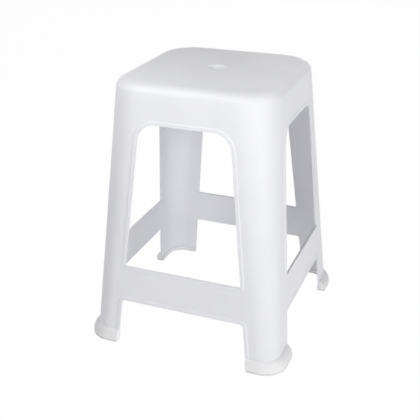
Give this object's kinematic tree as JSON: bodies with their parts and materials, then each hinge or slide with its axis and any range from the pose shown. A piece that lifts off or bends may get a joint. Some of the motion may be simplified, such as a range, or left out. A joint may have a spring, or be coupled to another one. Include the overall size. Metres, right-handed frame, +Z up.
{
  "type": "stacking stool",
  "caption": "Moulded plastic stacking stool with a rounded-square seat, finger hole, splayed L-section legs, flat stretchers and bulging foot shoes.",
  "frame": {"origin": "on the floor, under the middle of the seat", "axes": "+Z up through the finger hole, +X to the right of a person facing the front, front towards -Y"},
  "size_m": [0.3588, 0.366, 0.4536],
  "materials": {
    "frame_plastic": "satin white moulded polypropylene with a fine mould texture",
    "shoe_plastic": "satin white moulded polypropylene",
    "sole_rubber": "matt off-white soft sole"
  },
  "bodies": {
    "root": {"moulded_stool_frame": "frame_plastic", "foot_shoe_front_left": "shoe_plastic", "foot_shoe_front_right": "shoe_plastic", "foot_shoe_back_left": "shoe_plastic", "foot_shoe_back_right": "shoe_plastic", "sole_pad_front_left": "sole_rubber", "sole_pad_front_right": "sole_rubber", "sole_pad_back_left": "sole_rubber", "sole_pad_back_right": "sole_rubber"}
  },
  "joints": []
}
